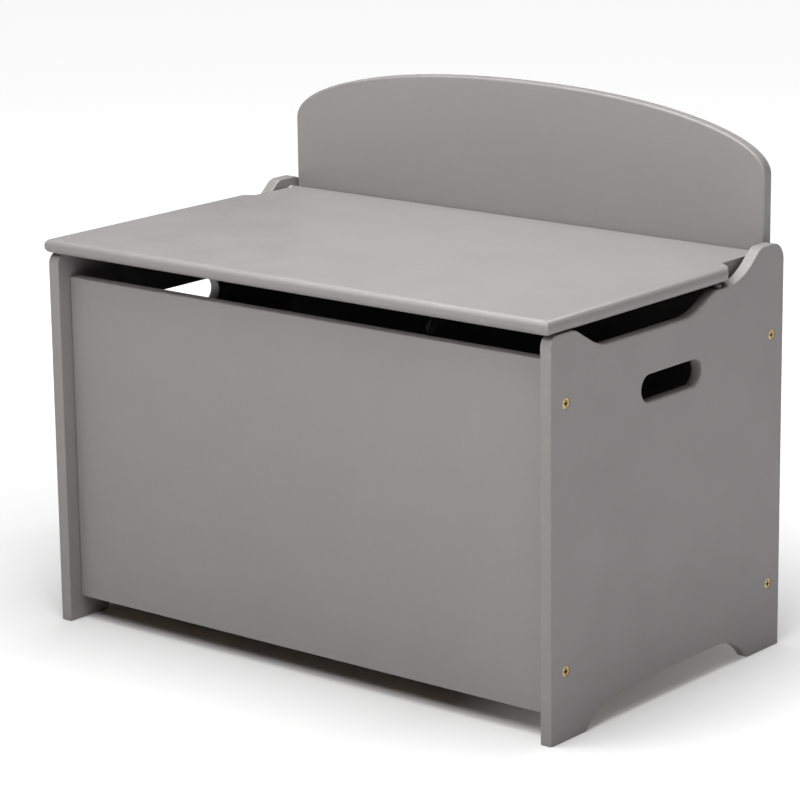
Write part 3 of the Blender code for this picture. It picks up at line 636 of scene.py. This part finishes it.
def fit_bolt(number, node, boards):
    """One side bolt, with the holes for it, its barrel nut and the dowel near it."""
    low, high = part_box(node)
    sign = 1 if high.x > 0 else -1
    axis = "+X" if sign > 0 else "-X"
    bolt, bore = recessed_screw(f"bolt_{number}", axis, at_node(node, axis),
                                BOLT_SIZES, high.x - low.x, *BOLT_RECESS)
    panel = boards["front_panel" if low.y < 0 else "back_panel"]
    side = boards["right" if sign > 0 else "left"]
    inward = "+Y" if low.y < 0 else "-Y"
    nut_low, nut_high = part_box(f"barrel_nut_{number}")
    nut_radius = (nut_high.x - nut_low.x) / 2
    mouth = (nut_low + nut_high) / 2
    mouth.y = FRONT_PANEL_REAR if low.y < 0 else BACK_PANEL_FRONT
    depth = abs(mouth.y - (nut_low.y if low.y < 0 else nut_high.y))
    nut_hole = drill(f"nut_bore_{number}", nut_radius + GAP, depth + GAP, inward, mouth)
    dowel_low, dowel_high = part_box(f"wood_dowel_{number}")
    radius = (dowel_high.z - dowel_low.z) / 2 + GAP
    end = dowel_low.x - dowel_high.x - GAP
    dowel_hole = turned(f"dowel_bore_{number}",
                        [(0, GAP), (radius, GAP), (radius, end), (0, end)],
                        axis, at_node(f"wood_dowel_{number}", axis), hidden=True)
    for tool in (bore, dowel_hole):
        modify(side, "DIFFERENCE", tool)
        modify(panel, "DIFFERENCE", tool)
    modify(panel, "DIFFERENCE", nut_hole)
    show(bolt, "carcass", BRASS, "brass_plate", node)


def make_bottom():
    """The bottom board and the four cleats under it."""
    low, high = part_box("bottom_panel")
    show(board("bottom_board", low, high, 0.6 * MM, across=2), "carcass",
         paint("paint_bottom", 5), "grey_paint", "bottom_panel")
    for name, along in (("left", 1), ("right", 1), ("front", 0), ("back", 0)):
        node = name + "_cleat"
        low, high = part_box(node)
        across = 0 if along else 1
        show(board(name + "_batten", low, high, 1.0 * MM, across), "carcass",
             timber("pine_" + name, along, *PINE), "bare_wood", node)


def make_backrest(boards):
    """The arched backrest and the screws that hold it to the back board."""
    rest = outlined("backrest_board", [backrest_outline()], BOARD, BACK_PLANE,
                    (0, (REST_LOW.y + REST_HIGH.y) / 2, 0), REST_EDGE, 6)
    for number in (1, 2, 3, 4):
        node = f"backrest_screw_{number}"
        low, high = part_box(node)
        screw, bore = recessed_screw(f"rear_screw_{number}", "+Y", at_node(node, "+Y"),
                                     SCREW_SIZES, high.y - low.y, *SCREW_RECESS)
        modify(rest, "DIFFERENCE", bore)
        modify(boards["back_panel"], "DIFFERENCE", bore)
        show(screw, "carcass", BRASS, "brass_plate", node)
    return rest


def make_lid():
    """The lid: a blank rounded all round, with its rear corners and rear edge cut after."""
    middle = (0, 0, (LID_LOW.z + LID_HIGH.z) / 2)
    half, front, rear = LID_HIGH.x, LID_LOW.y, LID_HIGH.y + 2 * LID_EDGE
    blank = [(-half, front), (half, front), (half, rear), (-half, rear)]
    lid = outlined("lid_board", [blank], LID_HIGH.z - LID_LOW.z, LEVEL_PLANE, middle,
                   LID_EDGE, 8)
    right = lid_corner()
    left = [(-x, y) for x, y in reversed(right)]
    for name, corner in (("lid_corner_right", right), ("lid_corner_left", left)):
        modify(lid, "DIFFERENCE", outlined(name, [corner], 2 * BOARD, LEVEL_PLANE, middle,
                                           hidden=True))
    modify(lid, "DIFFERENCE", outlined("lid_rear_edge", [lid_rear_section()], 3 * HALF,
                                       SIDE_PLANE, (0, 0, 0), hidden=True))
    for side, sign in (("left", -1), ("right", 1)):
        axis = "+X" if sign > 0 else "-X"
        node = "lid_pivot_pin_" + side
        pin_low, pin_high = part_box(node)
        mouth = at_node(node, axis)
        mouth.x = sign * LID_NARROW
        inner = pin_low.x if sign > 0 else pin_high.x
        modify(lid, "DIFFERENCE", drill("pin_bore_" + side,
                                        (pin_high.z - pin_low.z) / 2 + GAP,
                                        abs(mouth.x - inner) + GAP, axis, mouth))
        bush_low, bush_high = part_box("pivot_bush_" + side)
        outer = bush_high.x if sign > 0 else bush_low.x
        opposite = "-X" if sign > 0 else "+X"
        modify(BOARDS[side], "DIFFERENCE",
               drill("bush_bore_" + side, BUSH_BORE, abs(outer - sign * INNER) + GAP,
                     opposite, (sign * INNER, mouth.y, mouth.z)))
    return lid


def make_bumpers():
    """Soft domed pads under the lid, coloured near black: painted shade that sinks them into the dark
    gap under the lid.
    """
    for number in (1, 2):
        node = f"lid_bumper_{number}"
        low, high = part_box(node)
        radius, height, crown = (high.x - low.x) / 2, high.z - low.z, 0.5 * MM
        rim = arc((radius - crown, height - crown), crown, 90, 0, 6)
        show(turned(f"pad_{number}", [(0, height)] + rim + [(radius, 0), (0, 0)], "+Z",
                    at_node(node, "-Z")),
             "carcass", SHADE_DARK_PAD, "dark_rubber", node)


# Pivots of the lid stay, in (y, z); the four are the corners of a parallelogram
PIVOT = JOINT_AT["lid_hinge"].yz
ARM_ROOT = JOINT_AT["stay_arm_hinge"].yz
LID_JOINT = JOINT_AT["stay_link_hinge"].yz
ELBOW = ARM_ROOT + LID_JOINT - PIVOT


def stay_plate(name, loops, node, hidden=False, spans=None):
    """A flat plate of the stay with slightly rounded edges, where its CAD node lies in x."""
    low, high = spans or (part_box(node)[0].x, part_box(node)[1].x)
    return outlined(name, loops, high - low, SIDE_PLANE, ((low + high) / 2, 0, 0),
                    STAY_EDGE, 2, hidden)


def make_rivet(name, node, point):
    """A domed rivet along X."""
    low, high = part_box(node)
    head, crown = (high.z - low.z) / 2, 1.4 * MM
    grip = (high.x - low.x) / 2 - crown
    dome = [(head * math.cos(a), grip + crown * math.sin(a))
            for a in (math.radians(90 - 9 * i) for i in range(11))]
    dome[0] = (0, grip + crown)
    down = [(r, -h) for r, h in reversed(dome)]
    return turned(name, dome + [(STAY_RIVET, grip), (STAY_RIVET, -grip)] + down, "+X",
                  ((low.x + high.x) / 2, *point))


def make_pan_screw(name, node, axis, body):
    """A pan-head wood screw, and the cutter for its hole."""
    head, thick, shank, length = 3.6 * MM, 2 * MM, 1.7 * MM, 11 * MM
    crown = [(0, thick)] + [(head * math.sin(a) ** 0.8, thick * math.cos(a) ** 0.6)
                            for a in (math.radians(15 * i) for i in range(2, 6))]
    profile = crown + [(head, 0.2 * MM), (head, 0), (shank, 0), (shank, -length + 3 * MM),
                       (0.4 * MM, -length), (0, -length)]
    top = at_node(node, axis)
    under = top - AXIS[axis].to_3x3() @ Vector((0, 0, thick))
    screw = turned(name, profile, axis, under)
    modify(screw, "DIFFERENCE", cross_recess(name + "_recess", axis, top, *PAN_RECESS))
    show(screw, body, STEEL, "steel", node)
    return drill(name + "_bore", shank + GAP, length + GAP, axis, under)


def make_stay(lid, back):
    """The lid stay: arm, link, rivets, brackets and damper."""
    keyway = [(ARM_ROOT.x + a * KEYWAY_HALF, ARM_ROOT.y + b * KEYWAY_HALF)
              for a, b in ((-1, -1), (-1, 1), (1, 1), (1, -1))]
    arm = stay_plate("stay_lever", [tapered_plate(ARM_ROOT, ELBOW, STAY_ROOT_END, STAY_END),
                                    keyway, hole(ELBOW, STAY_RIVET + GAP)], "stay_arm")
    show(arm, "stay_arm", STEEL, "steel", "stay_arm")
    link = stay_plate("stay_tie", [tapered_plate(ELBOW, LID_JOINT, STAY_END, STAY_END),
                                   hole(ELBOW, STAY_RIVET + 2 * GAP),
                                   hole(LID_JOINT, STAY_RIVET + GAP)], "stay_link")
    show(link, "stay_link", STEEL, "steel", "stay_link")
    show(make_rivet("elbow_rivet", "stay_elbow_rivet", ELBOW), "stay_arm", STEEL, "steel",
         "stay_elbow_rivet")
    show(make_rivet("lid_rivet", "stay_lid_rivet", LID_JOINT), "lid", STEEL, "steel",
         "stay_lid_rivet")
    make_lid_bracket(lid)
    make_wall_bracket(back)
    make_damper()


def make_lid_bracket(lid):
    """The stay's bracket under the lid, with its two screws."""
    low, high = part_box("stay_lid_bracket")
    base = board("lid_bracket", (low.x, low.y, high.z - STAY_PLATE), high, BRACKET_EDGE,
                 across=2)
    deep = high.z - STAY_PLATE / 2
    ear = [(LID_JOINT.x + LID_EAR_SHOULDER, deep), (LID_JOINT.x - LID_EAR_SHOULDER, deep)]
    ear += arc(LID_JOINT, STAY_END, 200, 340, 20)
    modify(base, "UNION",
           stay_plate("lid_ear", [ear, hole(LID_JOINT, STAY_RIVET + GAP)], None, True,
                      (low.x, low.x + STAY_PLATE)))
    for number in (1, 2):
        bore = make_pan_screw(f"lid_screw_{number}", f"stay_lid_screw_{number}", "-Z", "lid")
        modify(base, "DIFFERENCE", bore)
        modify(lid, "DIFFERENCE", bore)
    show(base, "lid", STEEL, "steel", "stay_lid_bracket")


def make_wall_bracket(back):
    """The stay's bracket on the back board, with its two screws."""
    low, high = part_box("stay_wall_bracket")
    base = board("wall_bracket", (low.x, high.y - STAY_PLATE, low.z), high, BRACKET_EDGE)
    deep = high.y - STAY_PLATE / 2
    ear = arc(ARM_ROOT, STAY_ROOT_END, 110, 250, 24)
    ear += [(deep, ARM_ROOT.y - WALL_EAR_FOOT), (deep, ARM_ROOT.y + WALL_EAR_FOOT)]
    modify(base, "UNION", stay_plate("near_ear", [ear, hole(ARM_ROOT, SHAFT_HOLE)], None, True,
                                     (high.x - STAY_PLATE, high.x)))
    modify(base, "UNION", stay_plate("far_ear", [ear], None, True,
                                     (low.x, low.x + STAY_PLATE)))
    for number in (1, 2):
        bore = make_pan_screw(f"wall_screw_{number}", f"stay_wall_screw_{number}", "-Y",
                              "carcass")
        modify(base, "DIFFERENCE", bore)
        modify(back, "DIFFERENCE", bore)
    show(base, "carcass", STEEL, "steel", "stay_wall_bracket")


def make_damper():
    """The damper's cup; the rotor, whose head shows beside the near ear, stays its CAD node."""
    low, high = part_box("stay_damper_housing")
    radius = (high.z - low.z) / 2
    lift = math.degrees(math.asin(DAMPER_FLAT / radius))
    loop = arc(ARM_ROOT, radius, lift, 360 - lift, 60)
    loop += [(high.y, ARM_ROOT.y - DAMPER_FLAT), (high.y, ARM_ROOT.y + DAMPER_FLAT)]
    cup = outlined("damper_cup", [loop], high.x - low.x, SIDE_PLANE,
                   ((low.x + high.x) / 2, 0, 0), 0.8 * MM, 4)
    modify(cup, "DIFFERENCE", drill("cup_bore", radius - DAMPER_WALL,
                                    high.x - low.x - DAMPER_WALL, "+X",
                                    (high.x, *ARM_ROOT)))
    show(cup, "carcass", NYLON_BLACK, "black_nylon", "stay_damper_housing")


# ----------------------------------------------------------------- the scene

def assign(material, *nodes):
    """Give CAD nodes that stay as they are a better material."""
    for name in nodes:
        obj = frame["nodes"][name]
        for entry in obj.material_slots:
            entry.material = material


def make_floor():
    """A pale floor with painted light: an emitted glow that grows away from the box, like a lit
    studio sweep.
    """
    mesh = bpy.data.meshes.new("floor")
    size = 30
    mesh.from_pydata([(-size, -size, 0), (size, -size, 0), (size, size, 0), (-size, size, 0)],
                     [], [(0, 1, 2, 3)])
    floor = bpy.data.objects.new("floor", mesh)
    bpy.context.scene.collection.objects.link(floor)
    graph = Graph("studio_floor", roughness=0.8)
    graph.set("Base Color", (*FLOOR, 1))
    graph.set("Specular IOR Level", 0.0)
    away = graph.tree.nodes.new("ShaderNodeVectorMath")
    away.operation = "DISTANCE"
    away.inputs[1].default_value = FLOOR_MIDDLE
    graph.link(graph.place, away.inputs[0])
    glow = graph.spread(away.outputs["Value"], 0.0, FLOOR_GLOW,
                        (FLOOR_GLOW_FROM, FLOOR_GLOW_TO))
    # Painted light: the floor's emission grows with distance from FLOOR_MIDDLE
    graph.set("Emission Color", (1, 1, 1, 1))
    graph.link(glow, graph.shader.inputs["Emission Strength"])
    mesh.materials.append(graph.material)


def add_light(name, kind, energy):
    data = bpy.data.lights.new(name, kind)
    data.energy = energy
    lamp = bpy.data.objects.new(name, data)
    lamp.visible_camera = False
    bpy.context.scene.collection.objects.link(lamp)
    return lamp


def make_lights():
    """Soft boxes above and in front, a weak sun from behind and a faint white world."""
    world = bpy.data.worlds.new("studio")
    world.use_nodes = True
    background = world.node_tree.nodes["Background"]
    background.inputs["Color"].default_value = (1, 1, 1, 1)
    background.inputs["Strength"].default_value = WORLD_STRENGTH
    bpy.context.scene.world = world
    for name, azimuth, elevation, spread, strength in SUNS:
        lamp = add_light(name, "SUN", strength * math.pi)
        lamp.data.angle = math.radians(spread)
        lamp.rotation_euler = outward(azimuth, elevation).to_track_quat("Z", "Y").to_euler()
    for name, place, faces, width, height, power in SOFTBOXES:
        lamp = add_light(name, "AREA", power)
        lamp.data.shape = "RECTANGLE"
        lamp.data.size, lamp.data.size_y = width, height
        lamp.location = place
        away = Vector(place) - Vector(faces)
        lamp.rotation_euler = away.to_track_quat("Z", "Y").to_euler()


def outward(azimuth, elevation):
    turn, lift = math.radians(azimuth), math.radians(elevation)
    return Vector((math.sin(turn) * math.cos(lift), -math.cos(turn) * math.cos(lift),
                   math.sin(lift)))


def make_camera():
    roll = math.radians(ROLL)
    back = outward(AZIMUTH, ELEVATION)
    right = (-back).cross(Vector((0, 0, 1))).normalized()
    up = back.cross(right)
    turned_right = right * math.cos(roll) + up * math.sin(roll)
    turned_up = up * math.cos(roll) - right * math.sin(roll)
    matrix = Matrix((turned_right, turned_up, back)).transposed().to_4x4()
    matrix.translation = CAMERA_TARGET + back * CAMERA_DISTANCE
    data = bpy.data.cameras.new("camera")
    data.lens = CAMERA_LENS
    data.sensor_width = 36
    data.clip_end = 100
    camera = bpy.data.objects.new("camera", data)
    camera.matrix_world = matrix
    bpy.context.scene.collection.objects.link(camera)
    bpy.context.scene.camera = camera


make_camera()
make_floor()
make_lights()
bpy.context.scene.view_settings.view_transform = "Standard"

BOARDS = make_boards()
make_bottom()
BACKREST = make_backrest(BOARDS)
LID = make_lid()
make_bumpers()
make_stay(LID, BOARDS["back_panel"])
# Piece, body, name of its paint, seed of that paint, CAD node
PAINTED = (
    (BOARDS["left"], "carcass", "paint_left", 1, "left_side_panel"),
    (BOARDS["right"], "carcass", "paint_right", 2, "right_side_panel"),
    (BOARDS["front_panel"], "carcass", "paint_front", 3, "front_panel"),
    (BOARDS["back_panel"], "carcass", "paint_back", 4, "back_panel"),
    (BACKREST, "carcass", "paint_backrest", 6, "backrest_panel"),
    (LID, "lid", "paint_lid", 7, "lid_panel"),
)
for piece, body_name, paint_name, paint_seed, cad_node in PAINTED:
    show(piece, body_name, paint(paint_name, paint_seed), "grey_paint", cad_node)
for cutter in list(CUTTERS.objects):
    bpy.data.objects.remove(cutter, do_unlink=True)
bpy.data.collections.remove(CUTTERS)

NUMBERS = range(1, 9)
assign(BRASS, *(f"barrel_nut_{n}" for n in NUMBERS))
assign(timber("beech", 0, *BEECH), *(f"wood_dowel_{n}" for n in NUMBERS))
assign(STEEL, "lid_pivot_pin_left", "lid_pivot_pin_right", "stay_damper_rotor")
assign(NYLON_WHITE, "pivot_bush_left", "pivot_bush_right")
